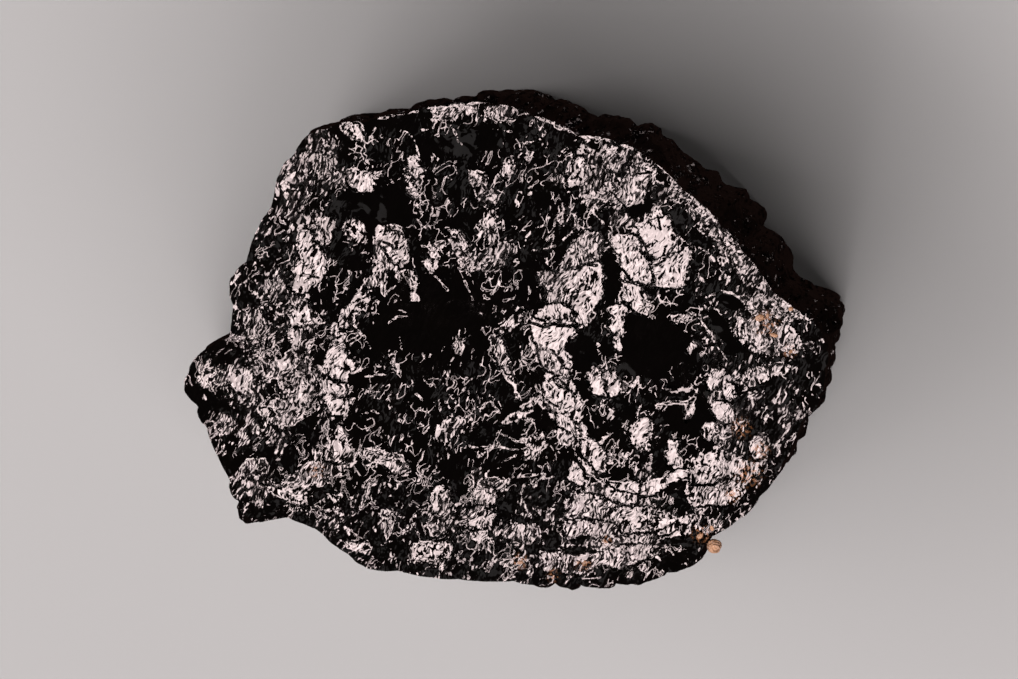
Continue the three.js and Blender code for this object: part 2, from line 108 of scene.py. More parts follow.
FACETS = [facet(row) for row in """
215 .4 .3: -15.7 18.7,-15.3 19,-14.9 18.9,-14.3 17.7,-14.7 17.4,-15.2 18;
215 .42 .4: -15.6 14.5,-14.9 15,-14.4 14.4,-12.5 14.7,-12.6 14.3,-13.8 14.1,-13.5 13.1,-14.5 12.9,
  -15.7 13.5;
205 .42 .3: -10.2 15.8,-9.3 15,-8.7 15,-8.7 14.3,-9.5 14.1,-10.1 14.8;
205 .42 .3: -10.2 13.9,-9.7 13.6,-9.1 12.7,-9.5 12.4,-10 13;
205 .38 .35: -19.9 9.4,-18.8 9.3,-18.9 8.5,-18.2 7.9,-17.5 6.5,-18.2 4.9,-19 3.9,-20.2 3.4,-21 4.1,
  -20.6 5.7,-19.9 6.4,-20.2 8;
210 .4 .4: -20.7 2.7,-19.3 2.9,-19.2 2.2,-18.9 1,-19.6 .7,-20.9 .7,-21.2 1.4,-20.5 2;
210 .42 .3: -18.8 1,-18.3 1.4,-18 1.1,-18.4 .6;
230 .44 .3: -13.3 3.4,-14.3 3.1,-15.5 2.2,-15.9 1.2,-16 .3,-15.6 .6,-15.1 1.9,-14 2.3;
205 .38 .8: -12.4 9,-11.5 9.3,-10.2 8.6,-10.2 7.4,-11.2 6.3,-12.1 7.3,-12.6 8;
200 .4 .9: -13.2 5.6,-12.4 6.4,-11.9 5.4,-12.2 3.5,-12.7 4.6,-13.9 4;
230 .42 .8: -10.6 5.4,-9.6 5.7,-9.2 4.6,-9.8 4.1;
230 .42 .6: -9.8 3.7,-9.3 3.8,-9.2 3.1,-9.8 2.9;
210 .42 .4: -8.1 8,-7.6 7.7,-7.2 7,-7.7 6.6,-8.1 7.2;
210 .42 .4: -8.6 6.7,-8 6.7,-8.2 5.6,-8.7 6;
235 .46 .3: -2.9 11.3,-2.4 11.4,-2.2 10,-2 8.9,-2.2 8,-2.8 8.2,-2.7 9.6,-3 10.3;
200 .4 .5: -1.5 15.2,-.9 15.9,-.7 15.3,-1.2 14.1,-1.6 14.3;
200 .42 .5: .6 16.6,1.3 16.5,.9 15.9,.6 15.6;
200 .4 1: -3.9 14.4,-3 14.4,-3.2 13.6,-3.9 13.3;
195 .38 .6: 4.1 14.4,5 15.9,5.8 16.1,5.9 14.3,5.3 13.4,4.5 13.3;
195 .4 .6: 5.2 16.4,5.9 17.3,6.1 17,5.6 16.2;
205 .42 .3: 8 13.5,8.2 14.1,8.5 13.1,8 12.8;
205 .34 1.1: 8.8 12.8,10.5 14.3,11.8 14.6,11.2 12,9.7 11.6;
195 .42 .5: 3.8 11.9,4.1 11,3.9 9.8,3.5 10.3;
195 .42 .4: 5.5 10.6,5.3 9.6,5 9.5,5.2 10.3;
205 .38 1.5: 2.4 3.4,3 4.8,3.8 5.8,4.2 7,5 8.4,6 9.4,7.3 9.2,7.4 8,7.2 6.6,6.2 6.2,5.2 5.4,4.6 4.4,
  4 3,3 2.7;
212 .39 .5: 5.2 5.4,6.2 6.2,7.2 6.6,7.7 5.2,7.6 4,7 2.8,6.2 1.9,5.6 1,4.8 .6,4.9 1.6,4.6 2.4,4 3,
  4.6 4.4;
200 .36 1.6: 1.8 5.4,2.8 5.8,3.2 5.2,2.8 4.2,2 4.4;
240 .4 .25: 10.9 9.3,11.9 10.3,13.7 10.8,13.9 9.7,14.3 8.8,13.2 8.2,12.9 7.2,12 6.9,11.2 7.7;
215 .37 .5: 8.4 8.6,9.3 9.1,10.7 9,11.1 7.5,11.9 6.6,12 4.7,10 5,9.4 6,9.3 7.2,8.6 7.9;
260 .38 .4: 12.4 6,13.6 7,15.5 8,15.6 7,14.9 5.5,14.4 4.3,12.6 4.2,12.2 4.8;
225 .4 .4: 9.5 4.4,10.8 4.5,11.9 3.2,11.6 1.8,10.4 2.2,9.4 2.9;
215 .42 .3: 8.2 2.3,9.2 2.8,10 2.2,9.3 1.9,9.3 .6,8.6 .1,8.2 .6,8.8 1.4;
215 .4 .8: 18 10,18.5 9.8,19.5 8.3,18.8 8,18.1 9;
205 .42 .5: 20 2.2,20.6 1,20.4 -1,20 -.6,19.9 1;
260 .42 .5: 13.7 1.6,15.5 2,15.6 1.5,14.2 1;
220 .42 .4: 16.8 -.3,17.3 -.2,17.3 -.9,16.8 -.9;
220 .42 .4: 15.4 -1.7,16.1 -.9,15.8 -.8,15.2 -1.5;
200 .44 .3: -17.2 .8,-16.7 1,-16.6 -.9,-17.1 -.8;
205 .42 .4: -16.6 -1.2,-16 -2.2,-15.4 -1.8,-14.9 -2.9,-15.6 -3.8,-16 -4.4,-17.4 -4.2,-17.2 -3,
  -16.8 -2.3;
215 .4 .6: -17.4 -4.4,-16 -4.6,-15.6 -6.6,-15.9 -7.6,-17 -7.6,-17.8 -6.5;
225 .38 .6: -17.2 -9,-16.3 -8.4,-15.8 -9.5,-15.3 -10.7,-16.3 -12,-17.9 -11.6;
200 .36 .3: -26.7 -4,-25 -3.2,-24.6 -4.2,-25.4 -5.3,-26.2 -5.7,-26.7 -5;
190 .36 .5: -29.9 -4.5,-28.2 -4.2,-28.2 -5.4,-29.5 -5.5;
215 .42 .6: -24.2 -6.9,-22.8 -6.9,-22.3 -7.7,-23.4 -8.1,-24.2 -7.6;
225 .4 1: -12.4 -11.3,-11 -11.5,-10 -11.6,-10.1 -12.9,-11.4 -12.9,-12.2 -12.1;
270 .46 .3: -13.9 -10.5,-12.6 -10.6,-12.3 -11,-13.5 -10.95;
260 .42 .6: -12.7 -16,-11.8 -16.2,-12.1 -17.2,-12.6 -17;
238 .43 .3: 1.3 1.6,2.2 2.3,3.4 2.8,4.6 2.4,5 1.6,4.6 .8,3.2 .9,2.2 1.1;
215 .38 .3: 1.1 1.4,2.2 1,3.2 .8,4.8 .7,5.2 .2,4.4 -.4,3.8 -1.4,3.2 -2,2.4 -2.1,1.8 -1.2,1.2 -.2;
205 .36 1.1: 1.8 -1.5,3 -1.5,4.2 -3,4.6 -3.9,3.6 -3.8,2.4 -3.2,1.9 -2.3;
225 .4 .3: 2.3 -4.6,3.6 -3.9,4.1 -4.9,4.9 -5.4,5 -6.4,4 -7.2,3 -7.1,2.3 -6.2;
205 .4 .4: 6.2 -3.9,6.9 -2.9,7.4 -3.4,7.6 -4.6,7.2 -5.6,6.7 -5.4;
205 .38 .35: 8.1 -4.3,8.7 -3.2,9.2 -4.2,9.1 -5.2,8.3 -5.6,8 -5.2;
205 .38 .7: 3.4 -7.4,4.6 -7.6,5.5 -8.5,5.3 -9.6,4.7 -8.9,3.6 -8.3;
215 .42 .3: 5.6 -9.7,6.8 -9.6,7.9 -10.7,7.9 -11.5,7 -12.4,6.2 -11.5,5.6 -10.6;
205 .36 .5: 4.9 -11.6,5.6 -12.3,5.8 -13.3,5.4 -13.9,4.4 -13.2;
205 .4 .35: 10.1 -9.9,10.3 -8.8,11.3 -7.6,11.9 -7.6,11.7 -9,11 -9.8,10.4 -10.1;
205 .42 .3: 11.3 -9.7,11.8 -9.6,11.7 -10.8,11.4 -10.6;
205 .42 .3: 13.6 -9.7,14.4 -9.6,14.2 -11.7,13.6 -11.9,13.5 -11;
235 .46 .4: .3 -9.8,1.5 -9.4,2.2 -8.9,2.3 -9.7,1.9 -10.8,.9 -11.4,.3 -11.7,.6 -10.9,1.3 -10.2;
290 .46 .2: -1.6 -8.2,-.3 -7.5,.8 -6.9,1.6 -6.8,.7 -7.3,-.4 -7.9;
290 .46 .2: .2 -6.8,1 -6.2,1.6 -5.3,1.6 -5.9,.9 -6.8;
225 .46 .4: -1.9 .1,-1 .9,.3 2.3,.6 2.1,-.5 .8,-1.6 -.1;
205 .42 .9: -2.4 -1.2,-1.8 -.3,-1.4 -1,-.9 -2.2,-.4 -3.5,-.9 -3.9,-1.6 -3,-2.2 -1.9;
205 .44 .4: -1 -3.9,-.5 -4,0 -5.9,-.3 -5.9;
205 .44 .6: -5.6 -.5,-4.9 -.3,-5.2 -1.5,-5.9 -2;
240 .38 .3: 17.6 -6.1,19 -6.2,19.5 -7,18.7 -8.2,17.9 -7.6,17.7 -6.8;
210 .36 .6: 18.4 -4.3,19.6 -4.6,19.7 -5.4,18.8 -6,18.4 -5.4;
210 .36 .4: 16.8 -8.4,17.6 -7.9,17.9 -8.8,17 -9.5;
205 .42 .4: 17.1 -4.2,18 -3,18.3 -2.6,17.9 -4.3,17.4 -5.2;
290 .5 .1: 13.5 -4.9,14.8 -4.75,15.9 -5.15,15.8 -5.4,14.5 -5.05;
280 .5 .2: 12.4 -6.35,14.2 -5.95,15.3 -6,15.9 -5.5,15.85 -6.4,15.2 -7.8,15.1 -7,15.3 -6.2,
  14.2 -6.15;
270 .4 .8: 16 -12,17.5 -11.9,18.5 -10.5,18.9 -12.5,17.6 -13.6,15.6 -13.7;
285 .4 .8: 15.6 -13.9,17.6 -13.8,19 -12.8,20 -14.5,18.8 -15.5,17 -15.4,15.7 -15.6;
280 .38 1: 21.3 -9,22.4 -9.2,22.2 -11,21.3 -11.3,21 -10.2;
250 .38 .3: 8 -13.7,10.3 -13.4,11.2 -13.7,10.8 -14.5,9.2 -14.3;
255 .38 .2: 11.3 -13.6,12.5 -13.3,14.5 -12.3,15.5 -12.1,15.3 -12.8,13.7 -13.4,12 -14.6,11 -14.7;
260 .38 .3: 9 -14.5,10.7 -14.6,10.6 -15.3,9.6 -15.5,9 -15.2;
265 .38 1: 5 -14.5,7.5 -14.8,8.9 -15.6,8.6 -17,6 -16.8,4.3 -17,4.2 -16;
270 .4 .6: 9 -15.8,12 -15.8,12 -18,9.5 -18.3,8.7 -17.2;
270 .38 1.1: 4.2 -17.2,6 -17,8.6 -17.3,9.2 -18.4,6 -18.5,4.2 -18.9;
275 .46 .5: 12.3 -16.6,13.6 -16.2,15 -17.4,13.6 -18.2,12.6 -18.3,12.1 -17.6;
275 .46 .6: 14.6 -17.2,15.7 -16.3,16 -16.5,15.4 -17.4,14.9 -18.5;
270 .4 1.1: 2 -20,5 -20.3,7.5 -20,7.2 -21.2,5.5 -22.1,2.2 -21.9;
275 .4 1.1: 7.7 -19.9,9.6 -19.3,11.5 -19.2,11.8 -20.5,9 -21.6,7.4 -21.2;
265 .4 .5: -9.8 -19.4,-7.8 -19,-6.2 -19.3,-6.6 -20.6,-8.2 -20.9,-9.9 -21.2;
260 .4 .9: -4.5 -16.5,-3 -16,-2.3 -16.4,-2.9 -17.8,-4.6 -18;
245 .4 1: -8 -15.2,-6.3 -14.2,-6.3 -15.5,-7.3 -16.6,-7.9 -16.4;
265 .38 .4: -16.2 -19.2,-14.8 -19.4,-13.9 -19.9,-14.3 -20.4,-15.6 -20;
255 .38 1.1: -4 -14.2,-2.3 -14.2,-2.3 -15.4,-4 -15.6;
210 .44 .8: -6.5 9.4,-5.4 9.2,-4.7 8.4,-4.3 7.2,-4.7 7.2,-5.2 8.2;
250 .42 .5: -23.8 -14.2,-21 -14.8,-19.9 -15.9,-20.6 -15.9,-22.5 -15
""".split(";")]

# Broken-up ground, later zones over earlier ones: centre, half lengths, turn in degrees, the
# direction that its chips lean down towards, their slope and how hackly they are. First come the
# 9 margins, whose chips lie flatter, and then the bright runs: 33 in the middle, 14 in the west,
# 11 in the north, 9 in the east and 13 in the south.
Zone = namedtuple("Zone", "x y long wide turn down slope hackle")
ZONES = features("""
-23 -3.5 5 15 0 20 .11 .25; -3 -18.5 19 5 0 60 .15 .24; 21 -3 4.5 13 0 45 .08 .3;
19 9 8 1.8 -52 0 0 .55; -19.5 14 3.5 4.5 -30 0 0 .38; -5.5 -7 5.5 3.5 0 30 .06 .13;
-11.5 -15.5 3.2 2 0 60 .12 .2; 4.2 -12.8 1.5 1.2 0 60 .1 .15; 9 14 5 3.4 -20 215 .08 .45;
-19 6 1.2 4 -20 205 .38 .35; -11.6 7.6 1.4 2.6 22 205 .38 .4; -14.5 3.2 3 .45 54 205 .4 .3;
-2.6 9.5 .6 2.4 0 225 .42 .3; -2.4 7 2 1 20 215 .26 .5; -2.8 12.3 1 .9 0 215 .32 .5;
-15 9.3 1 1.1 0 215 .22 .5; -9.6 14.8 .8 1.5 0 210 .38 .4; -14.6 13.8 1.2 .8 0 215 .4 .3;
-3.7 14.2 .8 .9 0 210 .38 .4; -.9 15 .6 1.2 -15 210 .38 .4; -7.7 6.9 .5 1.6 -25 215 .4 .4;
-5 7.5 .9 1.7 30 215 .34 .5; 6 7.4 1.4 1.1 0 205 .36 .4; 6.3 3.8 .7 2.2 -15 210 .34 .45;
4.2 1.3 2.6 .9 15 225 .4 .3; 2 -.3 .9 1.5 0 215 .38 .3; 3.6 -2.6 1.2 1.8 0 215 .39 .35;
3.7 -6.1 1.7 2.7 8 225 .4 .26; 4.9 -8.8 1.2 1.5 25 215 .4 .35; 6.8 -11.3 1 1.6 20 215 .4 .35;
5.2 -13 .6 .9 0 215 .34 .5; -1 .8 1.8 .4 42 240 .42 .3; -1.4 -2.4 .6 2.3 22 225 .4 .4;
8 -4.3 1.5 1.1 -25 210 .38 .4; 9 .8 .6 2 0 215 .4 .35; 10.3 3.2 1.4 1.1 -20 225 .4 .3;
12.3 8.2 1.8 2.6 -10 235 .39 .25; 9.8 7 1.1 2 0 215 .38 .3; 13.9 5.3 1.4 1.4 -20 250 .38 .3;
11.2 -8.9 .8 1.6 -15 210 .4 .35; 1.3 -10.3 1.5 .5 52 235 .42 .3; 0 -7.2 1.7 .3 28 280 .42 .3;
-20 .5 1.1 3.2 0 205 .36 .6; -14.6 .6 1 1.6 -10 40 .06 .2; -24.3 .5 .9 1.6 10 200 .34 .7;
-23.6 -3.4 1.6 1.4 0 205 .34 .7; -26 -4.2 1 1.1 0 200 .36 .5; -28.4 -4.6 1 .9 0 195 .35 .7;
-20 -4 2 2.5 0 205 .3 .8; -21.4 -7.4 2 1.2 0 210 .36 .55; -16.8 -4.2 1.1 3.2 0 215 .4 .35;
-27.3 -8.6 .9 .9 0 200 .34 .7; -24.5 -12.6 1.3 .8 0 220 .3 .9; -18.4 -12.8 3.8 1 30 225 .36 .5;
-12 -11.4 1.9 .6 -12 225 .36 .5; -11.5 -5 2.4 3 0 30 .04 .15;
-17.7 15.6 .8 1.7 0 205 .34 .7; -20.2 14.8 .9 2 -35 200 .33 .7; -15.3 18.4 .9 .7 0 220 .36 .5;
-6.2 20 2 .7 5 240 .28 .7; -2 20 1.3 .7 0 250 .28 .6; 5.3 14.6 .7 1.6 0 200 .36 .5;
8 16.2 .8 1.6 0 205 .34 .7; 9.2 13 1.9 1.1 25 205 .37 .6; 11.4 15 1.3 .8 -40 210 .35 .6;
14.2 13.2 .7 1.4 0 215 .36 .6; 18.6 8.6 5.5 .7 -52 215 .35 .6;
23 2.5 2.6 .9 -15 225 .3 .8; 22.8 -.2 3.4 1.4 -10 230 .37 .5; 22 -3.6 2.6 .7 15 240 .32 .7;
17.9 -4 1.2 .8 0 220 .36 .6; 18.5 -7.2 .8 2.6 -8 220 .34 .7; 21.9 -10.8 .6 2 -15 240 .32 .5;
17.6 -12.6 2.6 2.3 0 250 .4 .33; 14.4 -12 .5 1.2 0 240 .35 .5; 11.8 -12.8 .9 1 0 60 .08 .22;
7.2 -15.2 1.5 1.6 0 240 .34 .6; 9.3 -17.6 3.3 3.2 0 255 .37 .6; 13.7 -17.5 1.5 .9 0 262 .38 .4;
4.8 -21 2.4 .9 0 265 .36 .6; -.5 -21.1 1.3 .6 0 262 .35 .7; -8.4 -20.3 1.7 .8 0 262 .36 .6;
-3.6 -17.3 .8 1.9 -8 250 .38 .45; -7.4 -16.6 .9 2.2 -6 250 .38 .45;
-12.3 -17.4 .4 1.6 8 245 .32 .4; -15 -19.6 1.2 .6 -15 255 .34 .7; -2.4 -13.8 1.6 .6 15 250 .32 .7;
-6.3 -8.5 2.4 1 10 235 .05 .22; 0 -18.3 2 .9 0 262 .26 .6
""", Zone)

# Quiet pockets of smooth dark glass: centre, half lengths and turn.
Pocket = namedtuple("Pocket", "x y long wide turn")
POCKETS = features("""
12.3 -1.2 3 2.8 0; -9 1.5 4.5 3.2 20; 15.6 -7.3 2.2 1.8 0; 6.3 -2.5 1 2.4 0; 8.3 5.5 .9 3 0;
-4.3 2.2 1.8 1.8 0; -13 11.5 3.5 1.5 -15; -4 17.5 4.5 1.2 10; 18.3 .7 2.1 .8 -52;
19.6 -1.2 1.3 .7 20; 19.3 2.9 1.5 .6 -20; -1.7 3.3 1.2 1 0; 11.2 11.6 1.4 .7 30
""", Pocket)

# Thin threads of glass left by the break: the ridges, curls and ripples that catch the light on
# the dark ground, and the edges of the bevel. They run from the northern rim through the north,
# north-east and middle to the south and west.
THREADS = lines("""
-13 19.4,-10 20,-7.5 20.5,-4 20.9,-2 20.9,0 20.3,2 19.5,3 19.1,4.5 18.3,6 17.9,8 17.7,10 16.9,
11.5 16.2,13.6 14.6,15 13.2,16.6 11.6,18.4 9.8,20 8,21.4 6.2,22.6 4.2,24.4 2.8,26.4 1.2; 14.2 12.7,
15.6 12.1,17 11.2,18.2 9.7,19.4 7.9,20.6 6; -8.9 18.4,-7.6 18.5,-6.8 18.7; -2.6 18.5,-1.6 18.5,
-.6 18.3; -2.3 19.1,-1.4 19.2,-.8 19; -2 19.6,-1.3 19.6,-.7 19.5; -7.3 19.3,-6.2 18.8,-5.6 17.6,
-5.2 17.1; -9.6 17.6,-9.3 16.7,-9.1 16.1; -8 16.5,-7.4 15.8; -4.8 15.1,-4.4 14.4,-4.1 13.6,
-3.9 12.4; -3.5 14.6,-3 13.6,-2.3 12.8; -1.9 14.5,-2.5 13.2; .3 17.2,1.2 17.5,1.9 17.6; .6 15,
.1 13.8; -9 11.5,-8.9 10.7,-8.3 9.9,-7.7 9,-7.5 8.5; -9.2 10.4,-8.6 9.5; -5.6 9.4,-5 8.9,-4.6 8.2,
-4.6 7.2; -6.2 8.6,-5.8 9.3; -3.9 10,-3.7 9.4; -1.5 10.6,-1.4 9.4; .4 7.5,.6 8.7,1.2 9.5,2.3 9.9;
1.2 7.6,2.4 7.8,3.4 8; 3.2 9.8,3.8 11.4; 4.4 10.2,5 11.8; 5.3 10.6,5.2 9.8,4.9 9.3,4 8.6; 6.2 11.4,
7 10.8,7.7 10.1; 5.9 12.6,7 12.4,8.2 12; 6 13.2,7 13,8 12.5; 6.1 15.3,6.9 15.2; 8.5 16.6,9.2 16.2,
9.8 15.9; 14.2 9.8,14.6 8.9,15 8.5; 16.2 8,17.2 7.4,17.8 6.6; 18.4 7.8,18.9 6.9,19.2 5.6; 16.4 5.2,
17.1 4.4; 16.9 3.4,18.2 3.9,19.2 3.8,20 3.4; 15.6 2.2,16.7 1.1,17.4 0,18.1 -1.2,18.8 -2.2;
21.3 7.5,22.3 5.9; -7.6 5.3,-7 4.5,-6.5 3.9; -5.6 6,-4.9 4.8,-4.4 3.6,-4.2 2.9; -1.6 5.7,-1.8 4.6,
-2.5 3.6; -.7 4.6,-1.2 3.9; -1.4 3,-.6 3.2,0 3.9; .8 4.9,1 4,.9 3; -7 -4,-6.4 -3,-6 -2.2; .2 -2.2,
.8 -2.8,1.3 -3.4; .2 -2.6,.1 -4.6; -9.8 -4.2,-9.6 -5.2,-8.8 -6.2; -8.8 -4.1,-8.3 -4.8,-7.6 -4.7;
-7.6 -5.2,-7.3 -6,-7.2 -7; -5.2 -4.2,-4.9 -4.8,-5.3 -5.6; -4.6 -5.2,-4.6 -6,-4.9 -7,-4.3 -7.9;
-4.2 -6,-4.1 -7.2; -6.2 -8,-6.9 -8.7,-7.8 -9; -4.2 -10.3,-2.5 -10.2,-1.2 -10.4,1.4 -10.6;
-3.7 -11.2,-2.9 -10.6,-1.9 -10.3; -2 -8.9,-.8 -9.5,.3 -9.9,1.2 -9.8; -1.6 -11.8,-.2 -11; -.2 -13,
1.2 -12.8,2.6 -12.7; .8 -13.8,1.6 -13.2,2.4 -13.1; -.6 -12,.3 -12.3,0 -12.9; 2.4 -11.2,2.6 -11.8,
2.8 -12.5; 4.9 -9.9,5.1 -10.9,5.6 -11.6; 9.9 -7.8,9.6 -8.6,9.7 -9.2; -15.2 .9,-14.3 -.3,-13.3 -1.7;
-11.9 .9,-11.2 1.4,-10.2 1.6; -10.9 -.4,-10.8 -1.5; -14.4 -4,-13.2 -3.9,-12.2 -3.8; -14.6 -5,
-13.6 -5.4,-12.3 -5.5; -14.4 -7.4,-13.4 -7.1,-12.8 -7.3; -16.2 -13.9,-15.4 -15.6; -15.4 -10.2,
-15 -11,-14.3 -11.4; -14 -10.7,-12.7 -10.8,-12 -11.6,-11 -11.6,-10.2 -12.2; -11.8 -13.1,-10.8 -13,
-10.1 -12.4; -10.4 -10.1,-9.4 -11.2
""")

# Thin dark cracks across the facets.
CRACKS = lines("""
9.2 5,10.6 4.6,12 4.4,12.9 4.2; 12.2 6.2,13.2 6.8,13.9 7.9,14.6 8.6; 11 8.9,11.6 7.6,11.9 6.6;
12.6 10.8,12.9 9.6; 11.9 6.4,12.3 5.2,12.2 4.5; 1.3 1,2.4 .7,3.3 1,4.8 .7; 4.6 2.7,4.9 3.6,5.8 4.6;
5 6,6 6.4,7.1 6.3; 3 -3.9,3.6 -4.6,4.5 -5; 2.5 -6,3.6 -6.6; -19.6 4.6,-18.9 5.2,-18.2 5; -12.4 8.3,
-11.6 8,-11.2 7.2; -17.2 -5.6,-16.4 -6,-15.8 -5.6
""")

# Faint rusty stains: centre and reach.
Stain = namedtuple("Stain", "x y reach")
STAINS = features("""
20.2 -8.4 1.2; 20.9 -12.6 1.6; 21.9 -10.4 1.1; 19.4 -14.6 .9; -18.6 -12.7 .9; 16.5 -18.2 1.1;
5.7 -21.1 1; 0 -20.9 .9; 3 -22.2 .8; 8 -18.9 .7; 22.4 1 1.5; 24.5 -1.4 .8
""", Stain)


# ---- Repeatable chance and noise, on numpy arrays ----
def chance(i, j, seed, draw=0):
    """A number from 0 to 1 for each pair of whole numbers."""
    i, j = i.astype(np.int64), j.astype(np.int64)
    h = (i * 374761393 + j * 668265263 + seed * 2147483647 + draw * 1274126177) & 0xFFFFFFFF
    h = ((h ^ (h >> 13)) * 1103515245) & 0xFFFFFFFF
    h = ((h ^ (h >> 16)) * 2654435761) & 0xFFFFFFFF
    return ((h ^ (h >> 15)) & 0xFFFFFF) / 16777216.0


def smooth(low, high, value):
    t = np.clip((value - low) / (high - low), 0, 1)
    return t * t * (3 - 2 * t)


def mix(a, b, share):
    return a + (b - a) * share


def noise(x, y, seed):
    """Gradient noise between about -1 and 1, with features one unit across."""
    i, j = np.floor(x), np.floor(y)
    u, v = x - i, y - j

    def corner(di, dj):
        turn = 2 * math.pi * chance(i + di, j + dj, seed)
        return np.cos(turn) * (u - di) + np.sin(turn) * (v - dj)

    def ease(t):
        return t * t * t * (t * (t * 6 - 15) + 10)

    low = mix(corner(0, 0), corner(1, 0), ease(u))
    high = mix(corner(0, 1), corner(1, 1), ease(u))
    return 1.5 * mix(low, high, ease(v))


def clouds(x, y, seed, octaves=3):
    """Noise with finer and finer noise added."""
    total = 0
    for n in range(octaves):
        total = total + 0.5**n * noise(x * 2.03**n, y * 2.03**n, seed + 17 * n)
    return total


def cells_near(x, y, seed, jitter):
    """The cells next to each point: their numbers, and the point's offset from their middle."""
    i, j = np.floor(x), np.floor(y)
    for a in (i - 1, i, i + 1):
        for b in (j - 1, j, j + 1):
            dx = x - a - 0.5 - jitter * (chance(a, b, seed, 1) - 0.5)
            dy = y - b - 0.5 - jitter * (chance(a, b, seed, 2) - 0.5)
            yield a, b, dx, dy


def nearest_cell(x, y, seed, jitter):
    """For each point: the offset from the middle of its cell, and a number for the cell."""
    best = np.full(x.shape, 9.0)
    east, north, number = (np.zeros(x.shape) for _ in range(3))
    for a, b, dx, dy in cells_near(x, y, seed, jitter):
        nearer = dx * dx + dy * dy < best
        best = np.where(nearer, dx * dx + dy * dy, best)
        east = np.where(nearer, dx, east)
        north = np.where(nearer, dy, north)
        number = np.where(nearer, chance(a, b, seed, 3), number)
    return east, north, number


def shells(x, y, seed, lean):
    """The floor left by many shell-shaped chips one unit across, with sharp crests between."""
    floor = np.full(x.shape, 9.0)
    for a, b, dx, dy in cells_near(x, y, seed, 0.8):
        tilt = dx * (chance(a, b, seed, 4) - 0.5) + dy * (chance(a, b, seed, 5) - 0.5)
        depth = 0.3 * (chance(a, b, seed, 3) - 0.5)
        floor = np.minimum(floor, dx * dx + dy * dy + depth + lean * tilt)
    return floor


def line_distance(x, y, line):
    """Distance from points to a line of points."""
    nearest = np.full(x.shape, 1e9)
    for (ax, ay), (bx, by) in zip(line, line[1:]):
        ex, ey = bx - ax, by - ay
        t = np.clip(((x - ax) * ex + (y - ay) * ey) / (ex * ex + ey * ey), 0, 1)
        nearest = np.minimum(nearest, np.hypot(x - ax - t * ex, y - ay - t * ey))
    return nearest


def points_near(x, y, line):
    """The places in x and y of the points in or close to the box round a line."""
    low, high = np.min(line, axis=0) - DRAWN_REACH, np.max(line, axis=0) + DRAWN_REACH
    return np.flatnonzero((x > low[0]) & (x < high[0]) & (y > low[1]) & (y < high[1]))


def nearest_line(x, y, lines):
    """Distance to the nearest of the lines, made a little wavy, up to one millimetre."""
    wave_x = 0.10 * clouds(x / 0.9, y / 0.9, 811, 2)
    wave_y = 0.10 * clouds(x / 0.9, y / 0.9, 812, 2)
    nearest = np.ones(x.shape)
    for line in lines:
        near = points_near(x, y, line)
        distance = line_distance(x[near] + wave_x[near], y[near] + wave_y[near], line)
        nearest[near] = np.minimum(nearest[near], distance)
    return nearest


def inside_distance(x, y, outline):
    """Distance from points to a closed outline: positive inside it, negative outside."""
    inside = np.zeros(x.shape, bool)
    for (ax, ay), (bx, by) in zip(outline, outline[1:] + outline[:1]):
        if ay != by:
            crosses = ((ay > y) != (by > y)) & (x < (bx - ax) * (y - ay) / (by - ay) + ax)
            inside ^= crosses
    distance = line_distance(x, y, outline + outline[:1])
    return np.where(inside, distance, -distance)


# ---- Reading the CAD crystal ----
def read_solid(node):
    """The node's points (millimetres from the axis) and triangles, with equal points merged."""
    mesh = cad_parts[node].data
    points = np.array([v.co for v in mesh.vertices]) / MM
    points[:, :2] -= AXIS
    _, first, merged = np.unique(
        np.round(points, 4), axis=0, return_index=True, return_inverse=True
    )
    mesh.calc_loop_triangles()
    faces = [[int(merged[i]) for i in tri.vertices] for tri in mesh.loop_triangles]
    return points[first], np.array(faces)


def end_border(points, faces, up):
    """The edge of the upper (up=1) or lower (up=-1) end: bearing, radius and height, in order.

    The end is the patch of triangles that face that way, grown out from the middle."""
    a, b, c = (points[faces[:, k]] for k in range(3))
    normals = np.cross(b - a, c - a)
    upright = up * normals[:, 2] / np.linalg.norm(normals, axis=1)
    middles = (a + b + c) / 3
    flat = np.flatnonzero(upright > 0.5)
    start = flat[np.argmin(np.hypot(*middles[flat, :2].T) - up * middles[flat, 2])]

    def edges(f):
        return [frozenset((faces[f, k], faces[f, k - 1])) for k in range(3)]

    sides = {}
    for f in flat:
        for side in edges(f):
            sides.setdefault(side, []).append(f)
    patch, queue = {start}, [start]
    while queue:
        for side in edges(queue.pop()):
            for other in sides[side]:
                if other not in patch:
                    patch.add(other)
                    queue.append(other)
    border = {i for side, owners in sides.items() if len(patch.intersection(owners)) == 1
              for i in side}
    edge = points[sorted(border)]
    bearings = np.arctan2(edge[:, 1], edge[:, 0])
    order = np.argsort(bearings)
    return bearings[order], np.hypot(edge[:, 0], edge[:, 1])[order], edge[order, 2]


def round_interp(bearings, known, values):
    return np.interp(bearings, known, values, period=2 * math.pi)


def soften(grid, known, distance):
    """Gaussian smoothing of the known part of a grid; the rest is filled from it."""
    reach = int(3 * distance / GRID_STEP) + 1
    steps = np.arange(-reach, reach + 1) * GRID_STEP
    weights = np.exp(-0.5 * (steps / distance) ** 2)

    def blur(values):
        for axis in (0, 1):
            values = np.apply_along_axis(np.convolve, axis, values, weights, "same")
        return values

    base = grid[known].mean()
    return base + blur(np.where(known, grid - base, 0)) / np.maximum(blur(known * 1.0), 1e-9)


